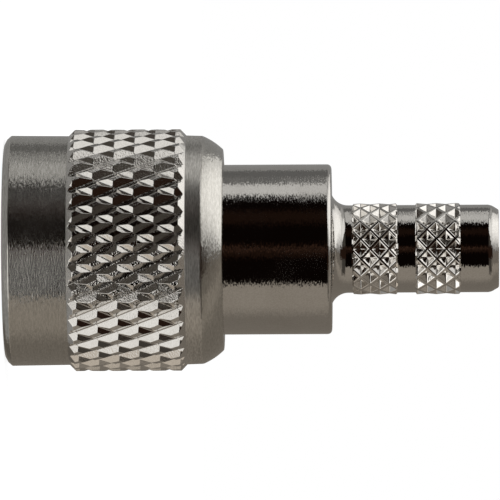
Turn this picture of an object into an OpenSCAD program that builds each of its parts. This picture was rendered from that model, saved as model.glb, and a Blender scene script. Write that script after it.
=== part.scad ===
// Mini-UHF crimp plug: a knurled coupling nut that turns on a one-piece turned shell,
// held by a spring ring, with a centre contact set in a white insulator.
// The axis is Z. The mating face of the nut lies at z = 0 and the cable end points up.

/* [Coupling nut] */
// Length of the nut along the axis
nut_len = 10.1; // [9.8:0.1:11.5]
// Diameter of the plain turned ends
nut_d = 10.52; // [10.4:0.02:11.2]
// Bevel on the front outer corner
nut_edge = 0.32; // [0.1:0.02:0.4]
// Length of the taper at the rear end
taper_len = 0.85; // [0.5:0.05:1]
// Fall of the radius over the rear taper
taper_drop = 0.55; // [0.3:0.05:0.65]
// Radius of the rounded rear lip
lip_round = 0.36; // [0.1:0.02:0.4]

/* [Nut knurl] */
// Distance from the mating face to the knurled band
knurl_start = 2.95; // [2.5:0.05:3.3]
// Length of the knurled band with its bevels
knurl_len = 5.4; // [4.4:0.1:5.6]
// Height of the crests above the plain ends
knurl_rise = 0.29; // [0.24:0.01:0.4]
// Height of the groove bottoms above the plain ends
knurl_floor = 0.07; // [0.03:0.01:0.12]
// Length of the bevel at each end of the band
knurl_bevel = 0.28; // [0.2:0.02:0.5]
// Number of diamonds round the nut
knurl_count = 38; // [30:1:46]
// Length of one diamond along the axis
knurl_pitch = 1.86; // [1.5:0.02:2.2]
// Width of the flat crest between two grooves
knurl_land = 0.32; // [0.2:0.02:0.44]
// Shift of the pattern from the middle of the band
knurl_shift = 0; // [-0.4:0.01:0.4]
// Turn of the pattern about the axis
knurl_turn = -1.6; // [-4.7:0.1:4.7]

/* [Nut inside] */
// Inner diameter of the 3/8-24 thread
thread_d = 8.5; // [8.3:0.05:8.7]
// Depth of the threaded length from the mating face
thread_len = 6.5; // [6:0.1:6.9]
// Lead-in bevel at the mouth
mouth_bevel = 0.35; // [0.1:0.05:0.4]
// Diameter of the relief behind the thread
relief_d = 9.6; // [9:0.1:9.7]
// Length of the relief
relief_len = 0.9; // [0.6:0.1:1.1]

/* [Shell] */
// Depth of the shell's shoulder behind the mating face
seat_depth = 6.3; // [5.9:0.1:6.8]
// Outside diameter of the shell
body_d = 7.8; // [7.6:0.05:7.9]
// Length of the shell from shoulder to rear face
body_len = 8.7; // [8:0.1:10.5]
// Round on the shell's rear corner
body_edge = 0.2; // [0.1:0.05:0.4]
// Bevel on the shoulder and on the nose
front_bevel = 0.15; // [0.05:0.05:0.25]
// Diameter of the outer contact's nose
nose_d = 6.7; // [6.5:0.05:6.8]
// Length of the nose in front of the shoulder
nose_len = 1.9; // [1.4:0.1:2.6]
// Diameter of the insulator's pocket
pocket_d = 5.4; // [5:0.1:5.7]
// Depth of the pocket from the nose
pocket_depth = 6.2; // [5.6:0.1:7]

/* [Crimp stem] */
// Plain diameter of the stem
stem_d = 4.02; // [3.9:0.02:4.3]
// Length of the stem from the shell's rear face
stem_len = 7.67; // [7.2:0.05:9]
// Radius of the sweep at the stem's root
root_r = 0.8; // [0.76:0.02:1.1]
// Reach of the root sweep along the stem
root_len = 0.75; // [0.5:0.05:0.75]
// Length of the bevel at the stem's tip
tip_len = 0.39; // [0.1:0.01:0.6]
// Fall of the radius over the tip bevel
tip_drop = 0.23; // [0.1:0.01:0.3]
// Bore for the cable's core
cable_d = 3.1; // [2.9:0.05:3.2]
// Lead-in bevel of the cable bore
cable_bevel = 0.1; // [0.05:0.01:0.12]

/* [Stem knurl] */
// Distance from the shell's rear face to the first band
band_start = 0.95; // [0.85:0.05:1.2]
// Length of one knurled band
band_len = 2.06; // [1.6:0.02:2.2]
// Plain length between the bands
band_gap = 0.83; // [0.5:0.01:1]
// Number of bands
band_count = 2; // [1:1:2]
// Height of the ridges' crossings above the plain stem
ridge_rise = 0.08; // [0.04:0.005:0.12]
// Depth of the pits below the ridges
pit_depth = 0.28; // [0.1:0.01:0.3]
// Number of pits round the stem
pit_count = 14; // [10:1:20]
// Length of one pit along the axis
pit_pitch = 0.868; // [0.7:0.002:1.1]

/* [Spring ring] */
// Thickness of the ring along the axis
ring_t = 0.6; // [0.4:0.05:0.7]
// Radial width of the ring
ring_w = 0.45; // [0.36:0.01:0.5]
// Overlap of the ring behind the shell's groove wall
ring_bite = 0.18; // [0.12:0.01:0.24]
// Opening of the ring
ring_open = 1.6; // [0.8:0.1:3]
// Free play of the nut along the axis
nut_play = 0.35; // [0.1:0.05:0.6]

/* [Insulator] */
// Setback of the insulator behind the nose
insulator_setback = 0.2; // [0.1:0.05:0.5]

/* [Centre contact] */
// Diameter of the contact in front of the insulator
pin_d = 2; // [1.8:0.05:2.1]
// Setback of the contact's tip behind the mating face
pin_setback = 0.6; // [0.3:0.1:1.5]
// Round on the contact's tip
pin_round = 0.6; // [0.3:0.05:0.8]
// Diameter of the contact inside the insulator
core_d = 2.4; // [2.35:0.05:2.55]
// Setback of the core's front end behind the insulator
core_setback = 0.1; // [0.05:0.05:0.3]
// Diameter of the conductor barrel
barrel_d = 2.7; // [2.6:0.05:2.75]
// Length of the conductor barrel
barrel_len = 3.3; // [2.8:0.1:3.8]
// Setback of the barrel's end inside the insulator
barrel_setback = 0.3; // [0.1:0.05:0.6]
// Diameter of the conductor cup
cup_d = 1; // [0.9:0.05:1.2]
// Depth of the conductor cup
cup_depth = 2.4; // [2:0.1:2.6]
// Lead-in bevel of the conductor cup
cup_bevel = 0.1; // [0.05:0.05:0.2]

/* [Clearances] */
// Radial gap between the turning nut and the shell
turn_gap = 0.07; // [0.04:0.01:0.1]
// Radial gap between pieces that are pushed together
slip_gap = 0.02; // [0.01:0.01:0.05]
// Gap beside and around the spring ring
ring_gap = 0.03; // [0.02:0.01:0.06]
// Radial room that lets the ring spring into its grooves
spring_room = 0.1; // [0.05:0.01:0.15]

/* [Hidden] */
$fn = 96;
// Steps of a small profile arc
arc_steps = 6;
// Reach of a knurl cutter beyond the blank that it cuts
cutter_reach = 0.4;
// Length by which the stem's pits run past their band
pit_overrun = 0.02;
// Height of the stem's blank above the finished ridges
blank_margin = 0.04;

nut_r = nut_d / 2;
crest_r = nut_r + knurl_rise;
groove_r = nut_r + knurl_floor;
knurl_end = knurl_start + knurl_len;
thread_r = thread_d / 2;
relief_r = relief_d / 2;
web_z = thread_len + relief_len;

body_r = body_d / 2;
web_r = body_r + turn_gap;
nose_r = nose_d / 2;
pocket_r = pocket_d / 2;
nose_z = seat_depth - nose_len;
step_z = nose_z + pocket_depth;
rear_z = seat_depth + body_len;
stem_r = stem_d / 2;
tip_z = rear_z + stem_len;
cable_r = cable_d / 2;
ridge_r = stem_r + ridge_rise;
pit_r = ridge_r - pit_depth;

ring_in_r = body_r - ring_bite;
ring_out_r = ring_in_r + ring_w;
ring_z = (web_z + nut_len - ring_t) / 2;
ring_top = ring_z + ring_t;
// Closed up, the ring has to pass the nut's rear bore
shell_groove_r = web_r - ring_w - spring_room;
nut_groove_r = ring_out_r + spring_room;

insulator_z = nose_z + insulator_setback;
barrel_top = step_z - barrel_setback;
barrel_z = barrel_top - barrel_len;
pin_r = pin_d / 2;
core_r = core_d / 2;
barrel_r = barrel_d / 2;
cup_r = cup_d / 2;

// Points of an arc in the profile plane, from angle a0 to angle a1
function arc(centre, r, a0, a1) = [
    for (i = [0:arc_steps])
        let (a = a0 + (a1 - a0) * i / arc_steps)
        centre + r * [cos(a), sin(a)]
];

// Radius at which a diamond's flanks would meet above a flat crest of the given width
function apex_r(low, crest, land, count, pitch) =
    let (
        girth = 2 * PI * crest / count,
        spacing = girth * pitch / norm([girth, pitch])
    )
    low + (crest - low) / (1 - land / spacing);

// Tube whose inner wall is a folded diamond lattice: cutting with it leaves a knurl.
// The folds run through the odd points of the lattice, and each even point is the tip of a pyramid.
module knurl_cutter(z_from, z_to, z_ref, even_r, odd_r, outer, count, pitch) {
    cols = 2 * count;
    turn = 360 / cols;
    first = floor((z_from - z_ref) * 2 / pitch);
    rows = ceil((z_to - z_ref) * 2 / pitch) - first;
    lattice = [
        for (k = [0:rows], i = [0:cols - 1])
            let (r = (i + first + k) % 2 == 0 ? even_r : odd_r)
            [r * cos(i * turn), r * sin(i * turn), z_ref + (first + k) * pitch / 2]
    ];
    rim = [
        for (k = [0, rows], i = [0:cols - 1])
            [outer * cos(i * turn), outer * sin(i * turn), z_ref + (first + k) * pitch / 2]
    ];
    first_rim = len(lattice);
    last_row = rows * cols;
    last_rim = first_rim + cols;
    flanks = [
        for (k = [0:rows - 1], i = [0:cols - 1], half = [0, 1])
            let (
                j = (i + 1) % cols,
                a = k * cols + i,
                b = k * cols + j,
                c = a + cols,
                d = b + cols
            )
            (i + first + k) % 2 == 0
                ? (half == 0 ? [a, b, c] : [b, d, c])
                : (half == 0 ? [a, b, d] : [a, d, c])
    ];
    walls = [
        for (i = [0:cols - 1], side = [0, 1, 2])
            let (j = (i + 1) % cols)
            side == 0
                ? [i, first_rim + i, first_rim + j, j]
                : side == 1
                ? [last_row + j, last_rim + j, last_rim + i, last_row + i]
                : [first_rim + i, last_rim + i, last_rim + j, first_rim + j]
    ];
    polyhedron(points = concat(lattice, rim), faces = concat(flanks, walls));
}

module coupling_nut() {
    taper_angle = atan2(taper_drop, taper_len);
    lip_centre = [nut_r - taper_drop - lip_round * cos(taper_angle), nut_len - lip_round];
    taper_z = nut_len - lip_round * (1 - sin(taper_angle)) - taper_len;
    outline = concat(
        [
            [thread_r + mouth_bevel, 0],
            [nut_r - nut_edge, 0],
            [nut_r, nut_edge],
            [nut_r, knurl_start],
            [crest_r, knurl_start + knurl_bevel],
            [crest_r, knurl_end - knurl_bevel],
            [nut_r, knurl_end],
            [nut_r, taper_z]
        ],
        arc(lip_centre, lip_round, taper_angle, 90),
        [
            [web_r, nut_len],
            [web_r, ring_top + ring_gap],
            [nut_groove_r, ring_top + ring_gap],
            [nut_groove_r, ring_z - ring_gap],
            [web_r, ring_z - ring_gap],
            [web_r, web_z],
            [relief_r, web_z],
            [relief_r, thread_len],
            [thread_r, thread_len],
            [thread_r, mouth_bevel]
        ]
    );
    tip_r = apex_r(groove_r, crest_r, knurl_land, knurl_count, knurl_pitch);
    knurl_ref = knurl_start + knurl_len / 2 - knurl_pitch / 4 + knurl_shift;
    color([0.74, 0.73, 0.7])
        difference() {
            rotate_extrude()
                polygon(outline);
            rotate([0, 0, knurl_turn])
                knurl_cutter(
                    knurl_start, knurl_end, knurl_ref, tip_r, groove_r,
                    tip_r + cutter_reach, knurl_count, knurl_pitch
                );
        }
}

// Cutter for the pits of one band: both bands belong to one pattern
module stem_cutter(z_from, pit_ref) {
    z_to = z_from + band_len + 2 * pit_overrun;
    outer = ridge_r + cutter_reach;
    intersection() {
        knurl_cutter(z_from, z_to, pit_ref, pit_r, ridge_r, outer, pit_count, pit_pitch);
        translate([0, 0, z_from])
            cylinder(r = outer, h = z_to - z_from);
    }
}

module body() {
    band_step = band_len + band_gap;
    root_angle = asin(root_len / root_r);
    blank_r = ridge_r + blank_margin;
    band_z = rear_z + band_start;
    pit_ref = band_z + band_len / 2 - pit_pitch / 4;
    bands = [
        for (n = [0:band_count - 1], corner = [0:3])
            [
                corner == 1 || corner == 2 ? blank_r : stem_r,
                band_z + n * band_step + (corner < 2 ? 0 : band_len)
            ]
    ];
    outline = concat(
        [
            [pocket_r, nose_z],
            [nose_r - front_bevel, nose_z],
            [nose_r, nose_z + front_bevel],
            [nose_r, seat_depth],
            [body_r - front_bevel, seat_depth],
            [body_r, seat_depth + front_bevel],
            [body_r, ring_z - nut_play - ring_gap],
            [shell_groove_r, ring_z - nut_play - ring_gap],
            [shell_groove_r, ring_top + ring_gap],
            [body_r, ring_top + ring_gap]
        ],
        arc([body_r - body_edge, rear_z - body_edge], body_edge, 0, 90),
        arc([stem_r + root_r, rear_z + root_len], root_r, 180 + root_angle, 180),
        bands,
        [
            [stem_r, tip_z - tip_len],
            [stem_r - tip_drop, tip_z],
            [cable_r + cable_bevel, tip_z],
            [cable_r, tip_z - cable_bevel],
            [cable_r, step_z],
            [pocket_r, step_z]
        ]
    );
    color([0.8, 0.79, 0.76])
        difference() {
            rotate_extrude()
                polygon(outline);
            for (n = [0:band_count - 1])
                stem_cutter(band_z + n * band_step - pit_overrun, pit_ref);
        }
}

module snap_ring() {
    opening = 2 * asin(ring_open / 2 / ring_in_r);
    color([0.72, 0.5, 0.28])
        rotate([0, 0, opening / 2])
            rotate_extrude(angle = 360 - opening)
                translate([ring_in_r, ring_z])
                    square([ring_w, ring_t]);
}

module insulator() {
    color([0.95, 0.95, 0.93])
        rotate_extrude()
            polygon([
                [core_r + slip_gap, insulator_z],
                [pocket_r - slip_gap, insulator_z],
                [pocket_r - slip_gap, step_z],
                [barrel_r + slip_gap, step_z],
                [barrel_r + slip_gap, barrel_z],
                [core_r + slip_gap, barrel_z]
            ]);
}

module centre_pin() {
    core_z = insulator_z + core_setback;
    color([0.83, 0.66, 0.3])
        rotate_extrude()
            polygon(concat(
                [[0, pin_setback]],
                arc([pin_r - pin_round, pin_setback + pin_round], pin_round, -90, 0),
                [
                    [pin_r, core_z],
                    [core_r, core_z],
                    [core_r, barrel_z],
                    [barrel_r, barrel_z],
                    [barrel_r, barrel_top],
                    [cup_r + cup_bevel, barrel_top],
                    [cup_r, barrel_top - cup_bevel],
                    [cup_r, barrel_top - cup_depth],
                    [0, barrel_top - cup_depth]
                ]
            ));
}

body();
coupling_nut();
snap_ring();
insulator();
centre_pin();
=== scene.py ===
"""Looks of a mini-UHF crimp plug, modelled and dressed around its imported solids.

Pieces are drawn in millimetres about the connector's axis, Z, and brought to metres when finished.
"""

import logging
import math
from dataclasses import dataclass, field, replace
from enum import Enum
from typing import Callable, Sequence

import bmesh
import bpy
from mathutils import Matrix, Vector


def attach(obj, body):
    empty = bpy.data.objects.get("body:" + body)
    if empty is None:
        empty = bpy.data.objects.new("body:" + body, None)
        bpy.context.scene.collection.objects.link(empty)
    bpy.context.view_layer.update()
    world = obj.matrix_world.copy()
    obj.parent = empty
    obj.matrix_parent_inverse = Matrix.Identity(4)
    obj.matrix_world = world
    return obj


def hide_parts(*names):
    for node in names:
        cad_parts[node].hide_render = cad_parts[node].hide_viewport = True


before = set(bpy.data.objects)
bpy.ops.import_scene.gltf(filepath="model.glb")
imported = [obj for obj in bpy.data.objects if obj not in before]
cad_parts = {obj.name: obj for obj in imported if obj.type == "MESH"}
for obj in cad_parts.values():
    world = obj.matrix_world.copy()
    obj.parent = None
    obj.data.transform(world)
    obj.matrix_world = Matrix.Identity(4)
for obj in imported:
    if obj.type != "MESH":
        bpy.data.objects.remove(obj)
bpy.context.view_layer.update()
LOG = logging.getLogger("crimp_plug")

Obj = bpy.types.Object
Socket = bpy.types.NodeSocket
Material = bpy.types.Material
Node = bpy.types.Node
Tree = bpy.types.NodeTree
Colour = tuple[float, float, float, float]
Triple = tuple[float, float, float]

MM = 0.001
FULL_TURN = 2 * math.pi

# Distances in mm within which vertices are merged
WELD = 1e-4
RING_WELD = 10 * WELD

# Distances in mm within which a vertex counts as lying on a cut
CELL_CUT = 1e-6
END_CUT = 1e-5

# Angles over which an edge is bevelled or a face counts as a flank, and over which an edge stays crisp
SHARP_DEG = 15.0
SMOOTH_DEG = 32.0

BEVEL_STEPS = 2

# Y of a normal on a flat strip under which the face points outwards
POINTS_OUT = -0.1

# Distance in mm by which paint reaches under a rolled band, or stays off the bore
PAINT_MARGIN = 0.1


class Body(Enum):
    """Rigid bodies that carry the modelled pieces."""

    SHELL = "shell"
    NUT = "nut"


class Slot(Enum):
    """Material slots of the modelled pieces."""

    BODY_NICKEL = "body_nickel"
    NUT_NICKEL = "nut_nickel"
    INSULATOR_WHITE = "insulator_white"
    CONTACT_GOLD = "contact_gold"


class Element(Enum):
    """Kinds of mesh element that are selected, with the mesh's name for each."""

    VERT = "verts"
    EDGE = "edges"
    FACE = "faces"


# Hand tools of the modelling bench


def clear_bench() -> None:
    """Leaves edit mode and deselects every object."""
    if bpy.context.mode != "OBJECT":
        bpy.ops.object.mode_set(mode="OBJECT")
    bpy.ops.object.select_all(action="DESELECT")


def take_up(obj: Obj) -> None:
    """Makes one object the only selected and the active one.

    Args:
        obj: The object.
    """
    clear_bench()
    obj.select_set(True)
    bpy.context.view_layer.objects.active = obj


def edit(obj: Obj, kind: Element = Element.VERT) -> None:
    """Takes up an object in edit mode with nothing selected.

    Args:
        obj: The mesh object.
        kind: The kind of element that is selected there.
    """
    take_up(obj)
    bpy.ops.object.mode_set(mode="EDIT")
    bpy.ops.mesh.select_mode(type=kind.name)
    bpy.ops.mesh.select_all(action="DESELECT")


def select_all() -> None:
    """Selects the whole mesh, in edit mode."""
    bpy.ops.mesh.select_all(action="SELECT")


def pick(obj: Obj, kind: Element, test: Callable[..., bool]) -> None:
    """Selects the elements of one kind that pass a test, in edit mode.

    Args:
        obj: The object in edit mode.
        kind: The kind of element, the one that edit mode selects.
        test: Says whether an element is wanted.
    """
    mesh = bmesh.from_edit_mesh(obj.data)
    for face in mesh.faces:
        face.select = False
    for element in getattr(mesh, kind.value):
        element.select = test(element)
    mesh.select_flush_mode()
    bmesh.update_edit_mesh(obj.data)


def extrude(step: Sequence[float] = (0, 0, 0)) -> None:
    """Extrudes what is selected, on the spot unless a step is given."""
    bpy.ops.mesh.extrude_region_move(TRANSFORM_OT_translate={"value": step})


def move(step: Sequence[float]) -> None:
    """Moves what is selected."""
    bpy.ops.transform.translate(value=step)


def cut_away(
    point: Sequence[float], outward: Sequence[float], threshold: float, fill: bool = False
) -> None:
    """Cuts the whole mesh along a plane, in edit mode, and drops the outer side.

    Args:
        point: A point of the plane.
        outward: Direction of the side that is dropped.
        threshold: Distance within which a vertex counts as lying on the plane.
        fill: Whether the cut is closed with a face.
    """
    select_all()
    bpy.ops.mesh.bisect(
        plane_co=point, plane_no=outward, use_fill=fill, clear_outer=True, threshold=threshold
    )


def apply_modifier(obj: Obj, kind: str, **settings: object) -> None:
    """Adds a modifier, sets it and applies it.

    Args:
        obj: The mesh object.
        kind: Blender's name for the modifier's type.
        settings: Its properties.
    """
    take_up(obj)
    modifier = obj.modifiers.new(kind.lower(), kind)
    for key, value in settings.items():
        setattr(modifier, key, value)
    bpy.ops.object.modifier_apply(modifier=modifier.name)


def repeat(obj: Obj, step: Sequence[float], count: int) -> None:
    """Copies a mesh in a row and welds the copies together.

    Args:
        obj: The mesh object.
        step: Distance from one copy to the next.
        count: Number of copies, the first included.
    """
    apply_modifier(
        obj,
        "ARRAY",
        use_relative_offset=False,
        use_constant_offset=True,
        constant_offset_displace=step,
        count=count,
        use_merge_vertices=True,
        merge_threshold=WELD,
    )


def weld(obj: Obj, distance: float = WELD) -> None:
    """Merges doubled vertices and turns all faces outwards.

    Args:
        obj: The mesh object.
        distance: Distance in mm within which vertices are merged.
    """
    edit(obj)
    select_all()
    bpy.ops.mesh.remove_doubles(threshold=distance)
    bpy.ops.mesh.normals_make_consistent(inside=False)
    clear_bench()


def join(name: str, parts: Sequence[Obj]) -> Obj:
    """Joins parts into the first of them.

    Args:
        name: Name of the joined object.
        parts: Mesh objects.

    Returns:
        The joined object.
    """
    clear_bench()
    for part in parts:
        part.select_set(True)
    bpy.context.view_layer.objects.active = parts[0]
    bpy.ops.object.join()
    parts[0].name = name
    return parts[0]


def bridge(obj: Obj, foot: float, seam: float) -> None:
    """Closes the gap between the open foot of a rolled band and the turned skin beside it.

    Args:
        obj: The mesh object.
        foot: Height of the band's foot.
        seam: Width of the gap.
    """
    reach = 1.5 * seam
    edit(obj, Element.EDGE)
    pick(
        obj,
        Element.EDGE,
        lambda e: e.is_boundary and all(abs(v.co.z - foot) < reach for v in e.verts),
    )
    bpy.ops.mesh.bridge_edge_loops()
    clear_bench()


def finish_piece(obj: Obj, flat_faces: bool = False) -> None:
    """Brings a piece from millimetres to metres and smooths its shading.

    Args:
        obj: The mesh object, drawn in millimetres.
        flat_faces: Whether large faces keep their own normals and only the bevels between them bend.
    """
    take_up(obj)
    bpy.ops.object.shade_smooth_by_angle(angle=math.radians(SMOOTH_DEG))
    if flat_faces:
        apply_modifier(obj, "WEIGHTED_NORMAL", keep_sharp=True, weight=100)
    obj.scale = (MM, MM, MM)
    bpy.ops.object.transform_apply(scale=True)
    obj.data.name = obj.name


@dataclass(frozen=True)
class Corner:
    """A corner of a turned profile, in mm.

    Attributes:
        r: Distance from the axis.
        z: Height along the axis.
        blend: Radius of the round on the corner, 0 for a sharp one.
        segments: Steps of that round.
    """

    r: float
    z: float
    blend: float = 0.0
    segments: int = 2

    def place(self) -> Vector:
        """The corner in the plane of the profile."""
        return Vector((self.r, 0.0, self.z))


@dataclass
class TurnedProfile:
    """A line of corners that is turned about the axis like work in a lathe.

    Attributes:
        name: Name of the object.
        corners: The line, corner by corner.
        steps: Faces round the axis.
        closed: Whether the last corner is joined to the first.
    """

    name: str
    corners: Sequence[Corner]
    steps: int
    closed: bool = False

    def trace(self) -> Obj:
        """Draws the line by extruding one vertex from corner to corner.

        Returns:
            A wire object with its rounds in place.
        """
        clear_bench()
        bpy.ops.mesh.primitive_plane_add(size=1.0)
        wire = bpy.context.active_object
        wire.name = self.name
        edit(wire)
        select_all()
        bpy.ops.mesh.merge(type="CENTER")
        move(self.corners[0].place())
        for here, there in zip(self.corners, self.corners[1:]):
            extrude(there.place() - here.place())
        if self.closed:
            ends = (self.corners[0].place(), self.corners[-1].place())
            pick(wire, Element.VERT, lambda v: any((v.co - end).length < WELD for end in ends))
            bpy.ops.mesh.edge_face_add()
        for index, corner in enumerate(self.corners):
            if corner.blend:
                self.round_corner(wire, index)
        return wire

    def round_corner(self, wire: Obj, index: int) -> None:
        """Bevels one vertex of the line so that the arc has the corner's radius.

        Args:
            wire: The drawn line, in edit mode.
            index: Which corner.
        """
        corner = self.corners[index]
        here = corner.place()
        before = self.corners[index - 1].place() - here
        after = self.corners[(index + 1) % len(self.corners)].place() - here
        reach = corner.blend / math.tan(before.angle(after) / 2)
        pick(wire, Element.VERT, lambda v: (v.co - here).length < WELD)
        bpy.ops.mesh.bevel(offset=reach, segments=corner.segments, affect="VERTICES")

    def turn(self) -> Obj:
        """Spins the line once round the axis.

        Returns:
            The turned surface, open only where the line has free ends off the axis.
        """
        solid = self.trace()
        select_all()
        bpy.ops.mesh.spin(steps=self.steps, angle=FULL_TURN, center=(0, 0, 0), axis=(0, 0, 1))
        weld(solid)
        return solid


@dataclass(kw_only=True)
class RolledBand:
    """A rolled diamond pattern: one diamond is shaped flat, repeated, and bent round the axis.

    On the flat strip X runs round the work, Z along its axis, and -Y outwards from the plain radius.

    Attributes:
        name: Name of the object.
        radius: Plain radius of the work.
        count: Diamonds round the work.
        pitch: Length of one diamond along the axis.
        z_ref: Height of a column of diamonds.
        turn_deg: Angle of that column's diamonds from the -Y side, about the axis.
        start: Height of the lower foot of the band.
        end: Height of the upper foot of the band.
        crest: Height of the crests over the plain radius.
        rim: Half the width left flat between neighbouring diamonds.
        lean: Length over which the ends of the band slope from crest to plain radius.
        soft: Width of the bevel on the edges.
    """

    name: str
    radius: float
    count: int
    pitch: float
    z_ref: float
    turn_deg: float
    start: float
    end: float
    crest: float
    rim: float
    lean: float
    soft: float

    @property
    def step(self) -> float:
        """Length of one diamond round the work."""
        return FULL_TURN * self.radius / self.count

    def lay_diamond(self) -> Obj:
        """Lays a flat four-sided disc of the diamond's size on the plain radius, in edit mode.

        Returns:
            The disc, all selected.
        """
        clear_bench()
        bpy.ops.mesh.primitive_circle_add(
            vertices=4, radius=1.0, fill_type="NGON", rotation=(math.pi / 2, 0, 0)
        )
        cell = bpy.context.active_object
        cell.name = self.name
        bpy.ops.object.transform_apply(rotation=True)
        edit(cell, Element.FACE)
        select_all()
        bpy.ops.transform.resize(value=(self.step / 2, 1, self.pitch / 2))
        return cell

    def shape_diamond(self) -> Obj:
        """Shapes one diamond, in edit mode; each kind of band has its own."""
        raise NotImplementedError

    def cut_end(self, foot: float, side: int) -> None:
        """Cuts the strip at one end of the band; each kind of band has its own."""
        raise NotImplementedError

    def soften(self, ring: Obj) -> None:
        """Bevels the edges of the finished ring; a band may leave them as they are."""

    def trim_end(self, foot: float, side: int) -> None:
        """Cuts one end of the strip and slopes it down to the plain radius.

        Args:
            foot: Height at which the slope meets the plain radius.
            side: -1 for the lower end, 1 for the upper one.
        """
        self.cut_end(foot, side)
        extrude()
        bpy.ops.transform.resize(value=(1, 0, 0), center_override=(0, 0, foot))

    def lay_strip(self) -> Obj:
        """Repeats the diamond over the band's length and trims both ends.

        Returns:
            A strip one diamond wide, in edit mode.
        """
        strip = self.shape_diamond()
        half = self.pitch / 2
        first = math.floor((self.start - self.z_ref) / half)
        pairs = math.ceil(((self.end - self.z_ref) / half - first + 1) / 2)
        odd = first % 2
        select_all()
        move((odd * self.step / 2, 0, self.z_ref + first * half))
        repeat(strip, ((1 - 2 * odd) * self.step / 2, 0, half), 2)
        repeat(strip, (0, 0, self.pitch), pairs)
        edit(strip, Element.EDGE)
        self.trim_end(self.start, -1)
        self.trim_end(self.end, 1)
        return strip

    def roll(self) -> Obj:
        """Repeats the strip round the work and bends it into a ring.

        Returns:
            The ring, open at its two feet.
        """
        strip = self.lay_strip()
        repeat(strip, (self.step, 0, 0), self.count)
        sweep = [vert.co.x for vert in strip.data.vertices]
        turns = (max(sweep) - min(sweep)) / (self.step * self.count)
        apply_modifier(
            strip, "SIMPLE_DEFORM", deform_method="BEND", deform_axis="Z", angle=FULL_TURN * turns
        )
        edit(strip)
        select_all()
        move((0, -self.radius, 0))
        bpy.ops.transform.rotate(
            value=-math.radians(self.turn_deg), orient_axis="Z", center_override=(0, 0, 0)
        )
        weld(strip, RING_WELD)
        self.soften(strip)
        return strip


@dataclass(kw_only=True)
class RaisedDiamonds(RolledBand):
    """The nut's raised diamonds: flat lands between two sets of grooves, one set deeper.

    Attributes:
        deep: Depth of the grooves of one hand under the lands.
        shallow: Depth of the grooves of the other hand.
        deep_flank_deg: Slope of the deeper grooves' walls.
        shallow_flank_deg: Slope of the other grooves' walls.
    """

    name: str = "nut_knurl"
    radius: float = 5.26
    count: int = 38
    pitch: float = 1.86
    z_ref: float = 5.185
    turn_deg: float = 1.54
    start: float = 2.95
    end: float = 8.35
    crest: float = 0.29
    rim: float = 0.022
    lean: float = 0.28
    soft: float = 0.022
    deep: float = 0.22
    shallow: float = 0.147
    deep_flank_deg: float = 39.0
    shallow_flank_deg: float = 36.0

    def cut_flanks(self, inset: float) -> None:
        """Cuts the four flanks of one diamond from a block, in edit mode.

        Args:
            inset: Size of the diamond as a share of the groove lines' diamond.
        """
        half_x, half_z = self.step / 2, self.pitch / 2
        for x_sign, z_sign in ((1, 1), (1, -1), (-1, 1), (-1, -1)):
            is_deep = x_sign == z_sign
            depth = self.deep if is_deep else self.shallow
            slope = math.radians(self.deep_flank_deg if is_deep else self.shallow_flank_deg)
            across = Vector((x_sign * half_z, 0, z_sign * half_x)) / math.hypot(half_x, half_z)
            outward = across * math.sin(slope) + Vector((0, -math.cos(slope), 0))
            cut_away((x_sign * half_x * inset, depth - self.crest, 0), outward, CELL_CUT, fill=True)

    def shape_diamond(self) -> Obj:
        """Cuts one diamond from a block and draws its skirt out to the groove lines.

        Returns:
            The open diamond, in edit mode.
        """
        cell = self.lay_diamond()
        half_x, half_z = self.step / 2, self.pitch / 2
        inset = 1 - self.rim * math.hypot(half_x, half_z) / (half_x * half_z)
        bpy.ops.transform.resize(value=(inset, 1, inset))
        move((0, -self.crest, 0))
        extrude((0, 2 * self.deep, 0))
        self.cut_flanks(inset)
        select_all()
        bpy.ops.mesh.normals_make_consistent(inside=False)
        pick(cell, Element.FACE, lambda f: f.normal.y > POINTS_OUT)
        bpy.ops.mesh.delete(type="FACE")
        bpy.ops.mesh.select_mode(type="EDGE")
        pick(cell, Element.EDGE, lambda e: e.is_boundary)
        extrude()
        bpy.ops.transform.resize(value=(1 / inset, 1, 1 / inset), center_override=(0, 0, 0))
        return cell

    def cut_end(self, foot: float, side: int) -> None:
        """Cuts the band's end along the slope that its lands run down."""
        cut_away((0, 0, foot), (0, -self.lean, side * self.crest), END_CUT)

    def soften(self, ring: Obj) -> None:
        """Bevels the edges that stand proud and leaves the bottoms of the grooves sharp.

        Args:
            ring: The rolled ring.
        """
        sharp = math.radians(SHARP_DEG)
        edit(ring, Element.EDGE)
        pick(ring, Element.EDGE, lambda e: e.is_manifold and e.is_convex and e.calc_face_angle() > sharp)
        bpy.ops.mesh.bevel(offset=self.soft, segments=BEVEL_STEPS, affect="EDGES")
        clear_bench()


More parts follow.
